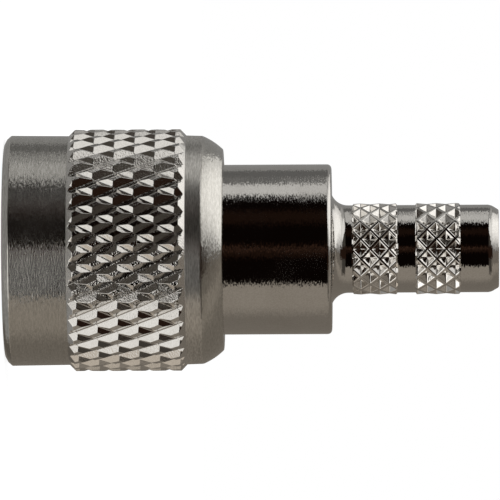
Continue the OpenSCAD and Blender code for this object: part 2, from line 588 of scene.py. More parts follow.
@dataclass(kw_only=True)
class SunkDiamonds(RolledBand):
    """The stem's sunk diamonds between raised ridges.

    Attributes:
        sink: Depth of the pits under the ridges.
        floor_share: Size of a pit's floor as a share of its mouth.
    """

    name: str = "stem_knurl"
    count: int = 14
    pitch: float = 0.868
    turn_deg: float = 0.0
    crest: float = 0.08
    rim: float = 0.053
    lean: float = 0.06
    soft: float = 0.036
    sink: float = 0.28
    floor_share: float = 0.03

    def shape_diamond(self) -> Obj:
        """Presses one pit into the disc and rounds its inner edges.

        Returns:
            The pit, in edit mode.
        """
        cell = self.lay_diamond()
        bpy.ops.mesh.inset(thickness=self.rim)
        extrude((0, self.sink, 0))
        bpy.ops.transform.resize(value=(self.floor_share, 1, self.floor_share))
        bpy.ops.mesh.select_mode(type="EDGE")
        pick(
            cell,
            Element.EDGE,
            lambda e: not any(near.is_boundary for vert in e.verts for near in vert.link_edges),
        )
        bpy.ops.mesh.bevel(offset=self.soft, segments=BEVEL_STEPS, affect="EDGES")
        select_all()
        move((0, -self.crest, 0))
        return cell

    def cut_end(self, foot: float, side: int) -> None:
        """Cuts the band's end square, short of its foot."""
        cut_away((0, 0, foot - side * self.lean), (0, 0, side), END_CUT)


# Shader building blocks

VALUE = "NodeSocketFloat"
VECTOR = "NodeSocketVector"


class ShaderDesk:
    """Places and wires nodes in one node tree."""

    def __init__(self, tree: Tree) -> None:
        """Keeps the tree to work on."""
        self.tree = tree

    def node(self, kind: str, **settings: object) -> Node:
        """Adds a node and sets its properties.

        Args:
            kind: Blender's identifier of the node.
            settings: Properties of the node.

        Returns:
            The new node.
        """
        node = self.tree.nodes.new(kind)
        for key, value in settings.items():
            setattr(node, key, value)
        return node

    def feed(self, value: object, socket: Socket) -> None:
        """Links an output to a socket, or sets the socket to a plain value.

        Args:
            value: An output or a plain value.
            socket: The socket that it feeds.
        """
        if isinstance(value, bpy.types.NodeSocket):
            self.tree.links.new(value, socket)
        else:
            socket.default_value = value

    def wire(self, node: Node, *values: object) -> Socket:
        """Feeds a node's inputs in their order.

        Args:
            node: The node.
            values: Outputs of other nodes or plain values.

        Returns:
            The node's first output.
        """
        for value, socket in zip(values, node.inputs):
            self.feed(value, socket)
        return node.outputs[0]

    def math(self, operation: str, *values: object) -> Socket:
        """Adds a Math node and returns its result."""
        return self.wire(self.node("ShaderNodeMath", operation=operation), *values)

    def vector(self, operation: str, *values: object) -> Socket:
        """Adds a Vector Math node and returns its result."""
        return self.wire(self.node("ShaderNodeVectorMath", operation=operation), *values)

    def ramp(
        self, value: object, low: float, high: float, start: float = 0.0, end: float = 1.0
    ) -> Socket:
        """Maps a value smoothly from one range to another.

        Args:
            value: The value mapped.
            low: Value at and under which the result is start.
            high: Value at and over which the result is end.
            start: Result at the low end.
            end: Result at the high end.

        Returns:
            The mapped value.
        """
        node = self.node("ShaderNodeMapRange", interpolation_type="SMOOTHSTEP")
        return self.wire(node, value, low, high, start, end)

    def mix(self, factor: object, first: object, second: object) -> Socket:
        """Mixes two colours.

        Args:
            factor: Share of the second colour.
            first: Colour or output.
            second: Colour or output.

        Returns:
            The mixed colour.
        """
        node = self.node("ShaderNodeMix", data_type="RGBA")
        self.feed(factor, node.inputs["Factor"])
        # The colour sockets follow those for values and vectors
        self.feed(first, node.inputs[6])
        self.feed(second, node.inputs[7])
        return node.outputs[2]

    def noise(self, vector: object, scale: float, detail: float) -> Socket:
        """Adds a noise texture.

        Args:
            vector: Coordinates.
            scale: Scale of the noise.
            detail: Octaves.

        Returns:
            The noise value.
        """
        node = self.node("ShaderNodeTexNoise")
        self.feed(vector, node.inputs["Vector"])
        node.inputs["Scale"].default_value = scale
        node.inputs["Detail"].default_value = detail
        return node.outputs[0]

    def weigh(self, first: object, second: object, share: float) -> Socket:
        """Adds two values, the second with a share and the first with what is left of 1."""
        return self.math("MULTIPLY_ADD", first, 1 - share, self.math("MULTIPLY", second, share))


class GroupDesk(ShaderDesk):
    """Works on a new shader node group that reads a Position and puts out one result."""

    def __init__(self, name: str, gives: str, kind: str = VALUE, **takes: str) -> None:
        """Makes the group with its named sockets.

        Args:
            name: Name of the group.
            gives: Name of its output.
            kind: Socket type of that output.
            takes: Its inputs besides Position, with underscores for blanks, and their socket types.
        """
        super().__init__(bpy.data.node_groups.new(name, "ShaderNodeTree"))
        for key, taken in {"Position": VECTOR, **takes}.items():
            self.tree.interface.new_socket(key.replace("_", " "), in_out="INPUT", socket_type=taken)
        self.tree.interface.new_socket(gives, in_out="OUTPUT", socket_type=kind)
        self.inputs = self.node("NodeGroupInput").outputs
        self.position = self.inputs["Position"]

    def close(self, result: Socket) -> Tree:
        """Puts out the result and returns the finished group."""
        self.feed(result, self.node("NodeGroupOutput").inputs[0])
        return self.tree


class Effects:
    """Shader node groups that the finishes share, each built once, with noise scales per metre."""

    ring_drift = 260.0
    coarse_rings = 0.17
    coarse_share = 0.3
    fine_grain = 14000.0
    broad_grain = 5000.0
    broad_share = 0.2
    ripple_scale = (7000.0, 7000.0, 19000.0)
    scratch_scale = (4000.0, 4000.0, 20000.0)
    cloud_scale = 520.0
    cloud_edges = (0.42, 0.68)

    def __init__(self) -> None:
        """Builds the groups."""
        self.lathe = self.build_lathe_lines()
        self.grain = self.build_plating_grain()
        self.ripple = self.build_plating_ripple()
        self.scratches = self.build_tool_scratches()
        self.marks = self.build_handling_marks()

    def build_lathe_lines(self) -> Tree:
        """Fine rings left by the turning tool, on cylinders, cones and end faces alike.

        Returns:
            The group: Lines, a height between 0 and 1.
        """
        desk = GroupDesk("Lathe lines", "Lines", Lines_per_metre=VALUE)
        parts = desk.node("ShaderNodeSeparateXYZ")
        desk.feed(desk.position, parts.inputs[0])
        x, y, z = parts.outputs
        radius = desk.math("SQRT", desk.math("MULTIPLY_ADD", x, x, desk.math("MULTIPLY", y, y)))
        along = desk.math("MULTIPLY", z, desk.inputs["Lines per metre"])
        across = desk.math("MULTIPLY", radius, desk.inputs["Lines per metre"])
        drift = desk.math("MULTIPLY", desk.math("ADD", x, y), self.ring_drift)
        rings = desk.wire(desk.node("ShaderNodeCombineXYZ"), across, drift, along)
        fine = desk.noise(rings, 1.0, 3.0)
        coarse = desk.noise(rings, self.coarse_rings, 1.0)
        return desk.close(desk.weigh(fine, coarse, self.coarse_share))

    def build_plating_grain(self) -> Tree:
        """The faint pebble of electroplate.

        Returns:
            The group: Grain, a height between 0 and 1.
        """
        desk = GroupDesk("Plating grain", "Grain")
        fine = desk.noise(desk.position, self.fine_grain, 1.0)
        broad = desk.noise(desk.position, self.broad_grain, 1.0)
        return desk.close(desk.weigh(fine, broad, self.broad_share))

    def build_plating_ripple(self) -> Tree:
        """Short ripples of the plate that lean the surface round the axis only.

        Returns:
            The group: Normal, leant by up to half of Lean.
        """
        desk = GroupDesk("Plating ripple", "Normal", VECTOR, Normal=VECTOR, Lean=VALUE)
        normal = desk.inputs["Normal"]
        squeezed = desk.vector("MULTIPLY", desk.position, self.ripple_scale)
        swing = desk.math("SUBTRACT", desk.noise(squeezed, 1.0, 2.0), 0.5)
        around = desk.vector("CROSS_PRODUCT", (0.0, 0.0, 1.0), normal)
        lean = desk.vector("MULTIPLY", around, desk.math("MULTIPLY", swing, desk.inputs["Lean"]))
        return desk.close(desk.vector("NORMALIZE", desk.vector("ADD", normal, lean)))

    def build_tool_scratches(self) -> Tree:
        """Short fine scratches that run round the axis.

        Returns:
            The group: Scratch, a height between 0 and 1.
        """
        desk = GroupDesk("Tool scratches", "Scratch")
        squeezed = desk.vector("MULTIPLY", desk.position, self.scratch_scale)
        return desk.close(desk.noise(squeezed, 1.0, 2.0))

    def build_handling_marks(self) -> Tree:
        """Dull patches from handling.

        Returns:
            The group: Dull, a mask between 0 and 1.
        """
        desk = GroupDesk("Handling marks", "Dull")
        cloud = desk.noise(desk.position, self.cloud_scale, 4.0)
        return desk.close(desk.ramp(cloud, *self.cloud_edges))


class MaterialDesk(ShaderDesk):
    """Works on a new material: its Principled shader and its object coordinates."""

    def __init__(self, name: str) -> None:
        """Starts a material with only a Principled shader."""
        self.material = bpy.data.materials.new(name)
        self.material.use_nodes = True
        super().__init__(self.material.node_tree)
        self.shader = self.tree.nodes["Principled BSDF"]
        self.position = self.node("ShaderNodeTexCoord").outputs["Object"]

    def place(self, group: Tree, **values: object) -> Socket:
        """Places a shared effect on the object coordinates.

        Args:
            group: The shader node group.
            values: Its other inputs, with underscores for blanks.

        Returns:
            The effect's output.
        """
        node = self.node("ShaderNodeGroup", node_tree=group)
        for key, value in {"Position": self.position, **values}.items():
            self.feed(value, node.inputs[key.replace("_", " ")])
        return node.outputs[0]

    def bump(
        self, height: Socket, distance: float, normal: Socket | None = None, strength: float = 1.0
    ) -> Socket:
        """Adds a bump over another normal.

        Args:
            height: Height between 0 and 1.
            distance: Real height of the bump in metres.
            normal: Normal under it, if there is one.
            strength: Strength of the bump.

        Returns:
            The new normal.
        """
        node = self.node("ShaderNodeBump")
        self.feed(height, node.inputs["Height"])
        node.inputs["Strength"].default_value = strength
        node.inputs["Distance"].default_value = distance
        if normal is not None:
            self.feed(normal, node.inputs["Normal"])
        return node.outputs[0]

    def set(self, **sockets: object) -> None:
        """Feeds the shader's sockets, with underscores for blanks."""
        for key, value in sockets.items():
            self.feed(value, self.shader.inputs[key.replace("_", " ")])


@dataclass(frozen=True)
class NickelPlate:
    """Nickel plate with its pebble and ripples, bright or scored to a satin.

    The constants that end in wear give the heights between which a relief dulls the plate, and the
    share of the dull colour at each.

    Attributes:
        name: Name of the material.
        clean: Colour of the bright plate.
        dull: Colour where it is dulled.
        roughness: Roughness of the clean plate.
        marking: Roughness that handling adds.
        pebble: Height of the electroplate's pebble in metres.
        lean: Twice the steepest lean of the plate's ripples.
        lines: Tool rings per metre.
        rings: Height of the tool rings in metres.
        scratch: Height of short scratches in metres, 0 for none.
        draw: How far the rings draw the light out along the axis, 0 to 1.
    """

    name: str
    clean: Colour = (0.73, 0.715, 0.69, 1.0)
    dull: Colour = (0.62, 0.6, 0.57, 1.0)
    roughness: float = 0.055
    marking: float = 0.05
    pebble: float = 0.0016 * MM
    lean: float = 0.24
    lines: float = 14000.0
    rings: float = 0.0006 * MM
    scratch: float = 0.0
    draw: float = 0.0

    grain_wear = (0.35, 0.65, 0.0, 0.5)
    scratch_wear = (0.3, 0.7, 0.0, 0.75)
    ring_wear = (0.35, 0.7, 0.0, 0.3)
    mark_share = 0.3

    def make(self, effects: Effects) -> Material:
        """Builds the material.

        Args:
            effects: The shared node groups.

        Returns:
            The material.
        """
        desk = MaterialDesk(self.name)
        lines = desk.place(effects.lathe, Lines_per_metre=self.lines)
        grain = desk.place(effects.grain)
        marks = desk.place(effects.marks)
        normal = desk.bump(grain, self.pebble)
        if self.scratch:
            scratch = desk.place(effects.scratches)
            normal = desk.bump(scratch, self.scratch, normal)
            scored = desk.ramp(scratch, *self.scratch_wear)
            worn = desk.math("ADD", scored, desk.ramp(lines, *self.ring_wear))
        else:
            speckle = desk.ramp(grain, *self.grain_wear)
            worn = desk.math("MULTIPLY_ADD", marks, self.mark_share, speckle)
        ringed = desk.bump(lines, self.rings, normal)
        desk.set(
            Base_Color=desk.mix(worn, self.clean, self.dull),
            Metallic=1.0,
            Roughness=desk.math("MULTIPLY_ADD", marks, self.marking, self.roughness),
            Normal=desk.place(effects.ripple, Normal=ringed, Lean=self.lean),
        )
        if self.draw:
            around = desk.node("ShaderNodeTangent", direction_type="RADIAL", axis="Z").outputs[0]
            desk.set(Anisotropic=self.draw, Anisotropic_Rotation=0.25, Tangent=around)
        return desk.material


@dataclass(frozen=True)
class InnerFinish:
    """Finish of a piece inside the plug: one relief, and a second colour in its handling marks.

    Attributes:
        name: Name of the material.
        clean: Colour of the clean surface.
        dull: Colour where it is rubbed, tarnished or clouded.
        roughness: Roughness of the clean surface.
        marking: Roughness that handling adds.
        relief: Height of the relief in metres.
        strength: Strength of the relief.
        lines: Tool rings per metre, or 0 for a grain instead of rings.
        share: Share of the dull colour in the marks.
        metallic: 1 for metal, 0 for plastic.
        depth_share: Share of the light that passes under the surface.
        depth: How far it goes there, in metres.
    """

    name: str
    clean: Colour
    dull: Colour
    roughness: float
    marking: float
    relief: float
    strength: float
    lines: float = 0.0
    share: float = 1.0
    metallic: float = 1.0
    depth_share: float = 0.0
    depth: float = 0.3 * MM

    def make(self, effects: Effects) -> Material:
        """Builds the material.

        Args:
            effects: The shared node groups.

        Returns:
            The material.
        """
        desk = MaterialDesk(self.name)
        marks = desk.place(effects.marks)
        if self.lines:
            height = desk.place(effects.lathe, Lines_per_metre=self.lines)
        else:
            height = desk.place(effects.grain)
        desk.set(
            Base_Color=desk.mix(desk.math("MULTIPLY", marks, self.share), self.clean, self.dull),
            Metallic=self.metallic,
            Roughness=desk.math("MULTIPLY_ADD", marks, self.marking, self.roughness),
            Normal=desk.bump(height, self.relief, strength=self.strength),
            Subsurface_Weight=self.depth_share,
            Subsurface_Scale=self.depth,
        )
        return desk.material


TURNED = NickelPlate(
    "turned_nickel",
    clean=(0.7, 0.685, 0.65, 1.0),
    dull=(0.55, 0.535, 0.5, 1.0),
    roughness=0.17,
    marking=0.02,
    pebble=0.0006 * MM,
    lean=0.35,
    lines=13000.0,
    rings=0.002 * MM,
    scratch=0.004 * MM,
    draw=0.85,
)
# Painted light: the nut's rear land takes this copy of the turned plate. Its colour is lighter, standing
# in for the light that falls there, and it has a rougher satin finish.
SATIN_PAINTED_LIGHT = replace(
    TURNED, name="satin_nickel", clean=(0.9, 0.88, 0.84, 1.0), roughness=0.28, draw=0.1, lean=0.1
)
ROLLED = NickelPlate("rolled_nickel", roughness=0.11, pebble=0.006 * MM, lean=0.04)
CREST = NickelPlate("crest_nickel", roughness=0.08, pebble=0.016 * MM, lean=0.1)
BRIGHT = NickelPlate("bright_nickel")
# Painted highlight: the stem's pit walls and ridge bevels take this copy of the plate. Its colour is
# lighter than the bright plate around them, and its reflections are sharper.
CRISP_PAINTED_HIGHLIGHT = NickelPlate(
    "crisp_nickel", clean=(0.92, 0.9, 0.87, 1.0), roughness=0.06, pebble=0.002 * MM, lean=0.03
)
GOLD = InnerFinish(
    "contact_gold",
    clean=(0.86, 0.62, 0.24, 1.0),
    dull=(0.74, 0.55, 0.27, 1.0),
    roughness=0.14,
    marking=0.1,
    relief=0.004 * MM,
    strength=0.3,
    lines=18000.0,
)
BRONZE = InnerFinish(
    "spring_bronze",
    clean=(0.6, 0.38, 0.2, 1.0),
    dull=(0.32, 0.19, 0.1, 1.0),
    roughness=0.28,
    marking=0.2,
    relief=0.004 * MM,
    strength=0.4,
)
WHITE = InnerFinish(
    "waxy_white",
    clean=(0.86, 0.86, 0.83, 1.0),
    dull=(0.76, 0.76, 0.72, 1.0),
    roughness=0.38,
    marking=0.12,
    relief=0.006 * MM,
    strength=0.5,
    lines=9000.0,
    share=0.6,
    metallic=0.0,
    depth_share=0.15,
)


def paint_faces(piece: Obj, low: float, high: float, inner_r: float, flank: int, land: int) -> None:
    """Gives the faces of a rolled band their finishes.

    Args:
        piece: The finished piece, in metres.
        low: Lower end of the band, in mm.
        high: Upper end of the band, in mm.
        inner_r: Radius in mm inside which nothing is painted.
        flank: Index of the finish on faces that lean away from the plain round surface.
        land: Index of the finish on the others.
    """
    for face in piece.data.polygons:
        outward = Vector((face.center.x, face.center.y, 0))
        in_band = low * MM < face.center.z < high * MM and outward.length > inner_r * MM
        if in_band:
            face.material_index = flank if math.degrees(outward.angle(face.normal)) > SHARP_DEG else land


class Piece:
    """A modelled piece that knows its place in the part and its finishes.

    Attributes:
        body: Rigid body that carries it.
        slot: Material slot of the record.
        node: CAD node that it stands for.
        finishes: Its finishes, in the order that its faces count them.
    """

    body = Body.SHELL
    slot: Slot
    node: str
    finishes: tuple[NickelPlate | InnerFinish, ...]

    def build(self) -> Obj:
        """Models the piece, in metres; each piece has its own."""
        raise NotImplementedError

    def dress(self, effects: Effects) -> None:
        """Builds the piece and gives it its finishes and its place in the part.

        Args:
            effects: The shared node groups.
        """
        piece = self.build()
        for finish in self.finishes:
            piece.data.materials.append(finish.make(effects))
        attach(piece, self.body.value)
        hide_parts(self.node)
        LOG.info("%s: %d faces on %s", piece.name, len(piece.data.polygons), self.body.value)


@dataclass
class CouplingNut(Piece):
    """The knurled coupling nut with its inside thread, in mm."""

    body = Body.NUT
    slot = Slot.NUT_NICKEL
    node = "coupling_nut"
    finishes = (TURNED, ROLLED, CREST, SATIN_PAINTED_LIGHT)

    knurl: RaisedDiamonds = field(default_factory=RaisedDiamonds)
    front_r: float = 5.288
    brow_z: float = 0.31
    brow_low: float = 0.12
    brow_fall: float = 0.17
    face_fall: float = 0.4
    rear_fall: float = 0.022
    edge: float = 0.06
    taper_z: float = 9.085
    taper_crown: float = 0.055
    taper_steps: int = 6
    foot_round: float = 0.28
    lip_r: float = 4.61
    lip_z: float = 10.03
    mouth_r: float = 4.6
    mouth_depth: float = 0.35
    thread_r: float = 4.25
    thread_end: float = 6.5
    thread_edge: float = 0.04
    thread_major_r: float = 4.7625
    thread_pitch: float = 1.0583
    thread_flank_deg: float = 30.0
    thread_root: float = 0.065
    thread_turns: int = 7
    thread_steps: int = 96
    overcut: float = 0.1
    relief_r: float = 4.8
    relief_round: float = 0.1
    web_z: float = 7.4
    web_r: float = 3.97
    groove_r: float = 4.27
    groove_low: float = 8.42
    groove_high: float = 9.08
    seam: float = 0.05
    steps: int = 228

    def turned_skin(self) -> Obj:
        """Turns everything but the knurled band: ends, bore, relief and ring groove.

        Returns:
            The skin, open at the band's two feet.
        """
        corners = [
            Corner(self.knurl.radius, self.knurl.start - self.seam),
            Corner(self.front_r, self.brow_z, self.edge, 3),
            Corner(self.front_r - self.brow_fall, self.brow_low, self.edge, 3),
            Corner(self.front_r - self.face_fall, 0.0, self.edge, 3),
            Corner(self.mouth_r, 0.0, self.edge, 3),
            Corner(self.thread_r, self.mouth_depth),
            Corner(self.thread_r, self.thread_end, self.thread_edge),
            Corner(self.relief_r, self.thread_end),
            Corner(self.relief_r, self.web_z, self.relief_round, 3),
            Corner(self.web_r, self.web_z, self.edge),
            Corner(self.web_r, self.groove_low),
            Corner(self.groove_r, self.groove_low),
            Corner(self.groove_r, self.groove_high),
            Corner(self.web_r, self.groove_high),
            Corner(self.web_r, self.lip_z, self.edge, 3),
            Corner(self.lip_r, self.lip_z, self.edge, 3),
            *self.crowned_taper(),
            Corner(self.knurl.radius - self.rear_fall, self.taper_z, self.foot_round, 5),
            Corner(self.knurl.radius, self.knurl.end + self.seam),
        ]
        return TurnedProfile("nut_skin", corners, self.steps).turn()

    def crowned_taper(self) -> list[Corner]:
        """Points of the taper between its ends, bowed outward a little.

        Returns:
            The points, from the lip to the foot.
        """
        lip = Vector((self.lip_r, self.lip_z))
        foot = Vector((self.knurl.radius - self.rear_fall, self.taper_z))
        chord = (foot - lip).normalized()
        outward = Vector((-chord.y, chord.x))
        shares = [step / self.taper_steps for step in range(1, self.taper_steps)]
        points = [lip.lerp(foot, t) + outward * (4 * self.taper_crown * t * (1 - t)) for t in shares]
        return [Corner(point.x, point.y) for point in points]

    def thread_cutter(self) -> Obj:
        """Sweeps the thread's groove along its helix.

        Returns:
            A closed coil that is cut out of the bore.
        """
        inner_r = self.thread_r - self.overcut
        root = self.thread_root
        spread = root + (self.thread_major_r - inner_r) * math.tan(math.radians(self.thread_flank_deg))
        middle = -self.thread_pitch
        corners = [
            Corner(inner_r, middle - spread),
            Corner(self.thread_major_r, middle - root),
            Corner(self.thread_major_r, middle + root),
            Corner(inner_r, middle + spread),
        ]
        coil = TurnedProfile("thread_coil", corners, self.thread_steps, closed=True).trace()
        apply_modifier(
            coil,
            "SCREW",
            axis="Z",
            angle=FULL_TURN,
            screw_offset=self.thread_pitch,
            iterations=self.thread_turns,
            steps=self.thread_steps,
            render_steps=self.thread_steps,
            use_merge_vertices=True,
            merge_threshold=WELD,
        )
        edit(coil, Element.EDGE)
        for side in (-1, 1):
            pick(coil, Element.EDGE, lambda e: e.is_boundary and side * e.verts[0].co.z > 0)
            bpy.ops.mesh.edge_face_add()
        weld(coil)
        return coil

    def build(self) -> Obj:
        """Joins skin and band, cuts the thread and paints the knurl, and paints the rear land with a
        lighter copy of the plate as painted light.

        Returns:
            The nut, in metres.
        """
        nut = join("coupling_nut_plated", [self.turned_skin(), self.knurl.roll()])
        bridge(nut, self.knurl.start, self.seam)
        bridge(nut, self.knurl.end, self.seam)
        weld(nut)
        coil = self.thread_cutter()
        apply_modifier(nut, "BOOLEAN", object=coil, operation="DIFFERENCE", solver="EXACT")
        bpy.data.objects.remove(coil)
        finish_piece(nut, flat_faces=True)
        skin_r = self.knurl.radius - PAINT_MARGIN
        paint_faces(nut, self.knurl.start, self.knurl.end, skin_r, flank=1, land=2)
        # Painted light: the rear land gets the lighter satin copy of the plate
        paint_faces(nut, self.knurl.end, self.taper_z, skin_r, flank=0, land=3)
        return nut


@dataclass
class CrimpShell(Piece):
    """The one-piece shell: outer contact, body and knurled crimp stem, in mm."""

    slot = Slot.BODY_NICKEL
    node = "body"
    finishes = (BRIGHT, CRISP_PAINTED_HIGHLIGHT)

    body_r: float = 3.9
    seat_z: float = 6.3
    seat_round: float = 0.08
    rear_z: float = 15.0
    rear_edge: float = 0.2
    front_bevel: float = 0.15
    nose_r: float = 3.35
    nose_z: float = 4.4
    pocket_r: float = 2.7
    step_z: float = 10.6
    groove_r: float = 3.42
    groove_low: float = 8.07
    groove_high: float = 9.08
    stem_r: float = 2.01
    tip_z: float = 22.67
    tip_len: float = 0.39
    tip_drop: float = 0.23
    tip_edge: float = 0.1
    tip_sweep: float = 0.5
    root_r: float = 0.8
    root_len: float = 0.75
    root_steps: int = 10
    cable_r: float = 1.55
    cable_bevel: float = 0.1
    cable_edge: float = 0.03
    fine: float = 0.04
    band_start: float = 15.95
    band_len: float = 2.06
    band_gap: float = 0.83
    seam: float = 0.05
    steps: int = 196

    @property
    def bands(self) -> list[tuple[float, float]]:
        """Lower and upper foot of each knurled band, the one next to the body first."""
        starts = (self.band_start, self.band_start + self.band_len + self.band_gap)
        return [(start, start + self.band_len) for start in starts]

    def root_sweep(self) -> list[Corner]:
        """The arc from the stem to the shell's rear face.

        Returns:
            The points of the arc.
        """
        middle = Vector((self.stem_r + self.root_r, self.rear_z + self.root_len))
        spread = math.asin(self.root_len / self.root_r)
        corners = []
        for step in range(self.root_steps + 1):
            angle = math.pi + spread * step / self.root_steps
            reach = self.root_r * Vector((math.cos(angle), math.sin(angle)))
            corners.append(Corner(*(middle + reach)))
        return corners

    def turned_skin(self) -> Obj:
        """Turns everything but the knurled bands and the land between them.

        Returns:
            The skin, open at the outer feet of the bands.
        """
        corners = [
            Corner(self.stem_r, self.band_start - self.seam),
            *self.root_sweep(),
            Corner(self.body_r, self.rear_z, self.rear_edge, 5),
            Corner(self.body_r, self.groove_high),
            Corner(self.groove_r, self.groove_high),
            Corner(self.groove_r, self.groove_low),
            Corner(self.body_r, self.groove_low),
            Corner(self.body_r, self.seat_z + self.front_bevel, self.fine),
            Corner(self.body_r - self.front_bevel, self.seat_z, self.fine),
            Corner(self.nose_r, self.seat_z, self.seat_round),
            Corner(self.nose_r, self.nose_z + self.front_bevel, self.fine),
            Corner(self.nose_r - self.front_bevel, self.nose_z, self.fine),
            Corner(self.pocket_r, self.nose_z, self.fine),
            Corner(self.pocket_r, self.step_z),
            Corner(self.cable_r, self.step_z, self.fine),
            Corner(self.cable_r, self.tip_z - self.cable_bevel, self.fine),
            Corner(self.cable_r + self.cable_bevel, self.tip_z, self.cable_edge),
            Corner(self.stem_r - self.tip_drop, self.tip_z, self.tip_edge, 4),
            Corner(self.stem_r, self.tip_z - self.tip_len, self.tip_sweep, 5),
            Corner(self.stem_r, self.bands[1][1] + self.seam),
        ]
        return TurnedProfile("shell_skin", corners, self.steps).turn()

    def plain_land(self) -> Obj:
        """Turns the plain land between the two bands.

        Returns:
            The land, open at both ends.
        """
        (_, low), (high, _) = self.bands
        corners = [Corner(self.stem_r, low + self.seam), Corner(self.stem_r, high - self.seam)]
        return TurnedProfile("stem_land", corners, self.steps).turn()

    def knurled_band(self, start: float, end: float) -> Obj:
        """Rolls one band of pits between raised ridges.

        Args:
            start: Height of its lower foot.
            end: Height of its upper foot.

        Returns:
            The band, open at its feet.
        """
        middle = self.band_start + self.band_len / 2
        z_ref = middle + SunkDiamonds.pitch / 4
        return SunkDiamonds(radius=self.stem_r, z_ref=z_ref, start=start, end=end).roll()

    def build(self) -> Obj:
        """Joins the turned parts and the bands, and paints the bands' leaning faces with a lighter copy
        of the plate as a painted highlight.

        Returns:
            The shell, in metres.
        """
        parts = [self.turned_skin(), self.plain_land()]
        parts += [self.knurled_band(*band) for band in self.bands]
        shell = join("shell_plated", parts)
        for band in self.bands:
            for foot in band:
                bridge(shell, foot, self.seam)
        weld(shell)
        finish_piece(shell, flat_faces=True)
        (first, _), (_, last) = self.bands
        # Painted highlight: the leaning faces of the bands get the lighter crisp copy of the plate
        paint_faces(shell, first, last, self.cable_r + PAINT_MARGIN, flank=1, land=0)
        return shell


@dataclass
class Insulator(Piece):
    """The white bushing that holds the centre contact, in mm."""

    slot = Slot.INSULATOR_WHITE
    node = "insulator"
    finishes = (WHITE,)

    outer_r: float = 2.68
    core_r: float = 1.22
    barrel_r: float = 1.37
    front_z: float = 4.6
    barrel_z: float = 7.0
    rear_z: float = 10.6
    edge: float = 0.06
    steps: int = 128

    def build(self) -> Obj:
        """Turns the bushing.

        Returns:
            The insulator, in metres.
        """
        corners = [
            Corner(self.core_r, self.front_z, self.edge, 3),
            Corner(self.outer_r, self.front_z, self.edge, 3),
            Corner(self.outer_r, self.rear_z, self.edge, 3),
            Corner(self.barrel_r, self.rear_z, self.edge, 3),
            Corner(self.barrel_r, self.barrel_z),
            Corner(self.core_r, self.barrel_z),
        ]
        piece = TurnedProfile("insulator_bushing", corners, self.steps, closed=True).turn()
        finish_piece(piece)
        return piece


@dataclass
class CentreContact(Piece):
    """The centre contact with its conductor cup, in mm."""

    slot = Slot.CONTACT_GOLD
    node = "centre_pin"
    finishes = (GOLD,)

    pin_r: float = 1.0
    core_r: float = 1.2
    barrel_r: float = 1.35
    tip_z: float = 0.6
    tip_round: float = 0.6
    core_z: float = 4.7
    barrel_z: float = 7.0
    top_z: float = 10.3
    cup_r: float = 0.5
    cup_bevel: float = 0.1
    cup_z: float = 7.9
    edge: float = 0.04
    steps: int = 96

    def build(self) -> Obj:
        """Turns the contact.

        Returns:
            The contact, in metres.
        """
        corners = [
            Corner(0.0, self.tip_z),
            Corner(self.pin_r, self.tip_z, self.tip_round, 8),
            Corner(self.pin_r, self.core_z),
            Corner(self.core_r, self.core_z, self.edge),
            Corner(self.core_r, self.barrel_z),
            Corner(self.barrel_r, self.barrel_z, self.edge),
            Corner(self.barrel_r, self.top_z, self.edge),
            Corner(self.cup_r + self.cup_bevel, self.top_z),
            Corner(self.cup_r, self.top_z - self.cup_bevel),
            Corner(self.cup_r, self.cup_z),
            Corner(0.0, self.cup_z),
        ]
        piece = TurnedProfile("centre_contact", corners, self.steps).turn()
        finish_piece(piece)
        return piece


class SpringRing:
    """The spring ring, shown as its solid."""

    def dress(self, effects: Effects) -> None:
        """Makes the ring of plain bronze.

        Args:
            effects: The shared node groups.
        """
        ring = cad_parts["snap_ring"]
        ring.data.materials.clear()
        ring.data.materials.append(BRONZE.make(effects))
        LOG.info("snap_ring: its solid, dressed in bronze")


PALE = (1.0, 0.985, 0.955)
WARM = (1.0, 0.89, 0.76)
BROWN = (1.0, 0.5, 0.32)


@dataclass(frozen=True)
class Panel:
    """A patch of the studio that the metal mirrors.

    Attributes:
        level: Brightness of the patch.
        low: Lower edge, in degrees about the axis from the camera's side.
        high: Upper edge.
        soft: Softness of those edges in degrees.
        left: Edge towards the mating end, as the direction's share along the axis.
        right: Edge towards the cable end.
        blur: Softness of those two edges.
        slant: Degrees by which the patch drops over a whole share along the axis.
        tint: Colour of the patch.
    """

    level: float
    low: float
    high: float
    soft: float = 4.0
    left: float = -1.3
    right: float = 1.3
    blur: float = 0.06
    slant: float = 0.0
    tint: Triple = PALE

    def mask(self, desk: ShaderDesk, angle: Socket, share: Socket) -> Socket:
        """Says where the patch lies.

        Args:
            desk: The world's nodes.
            angle: Angle of a direction about the axis, in degrees.
            share: The direction's share along the axis.

        Returns:
            1 in the patch and 0 outside it.
        """
        if self.slant:
            angle = desk.math("MULTIPLY_ADD", share, self.slant, angle)
        half = self.soft / 2
        edges = [desk.ramp(angle, self.low - half, self.low + half)]
        edges.append(desk.ramp(angle, self.high - half, self.high + half, 1.0, 0.0))
        if self.left > -1:
            edges.append(desk.ramp(share, self.left - self.blur, self.left + self.blur))
        if self.right < 1:
            edges.append(desk.ramp(share, self.right - self.blur, self.right + self.blur, 1.0, 0.0))
        mask = edges[0]
        for edge in edges[1:]:
            mask = desk.math("MULTIPLY", mask, edge)
        return mask


@dataclass(frozen=True)
class Lamp:
    """A soft square lamp that looks at the mating face.

    Attributes:
        name: Name of the lamp.
        place: Where it hangs, in metres.
        side: Length of its sides in metres.
        power: Power in watts.
    """

    name: str
    place: Triple
    side: float
    power: float

    def hang(self) -> None:
        """Adds the lamp, unseen by metal."""
        clear_bench()
        bpy.ops.object.light_add(type="AREA", location=self.place)
        lamp = bpy.context.active_object
        lamp.name = self.name
        lamp.data.size = self.side
        lamp.data.energy = self.power
        lamp.rotation_euler = (-Vector(self.place)).to_track_quat("-Z", "Y").to_euler()
        lamp.visible_glossy = False


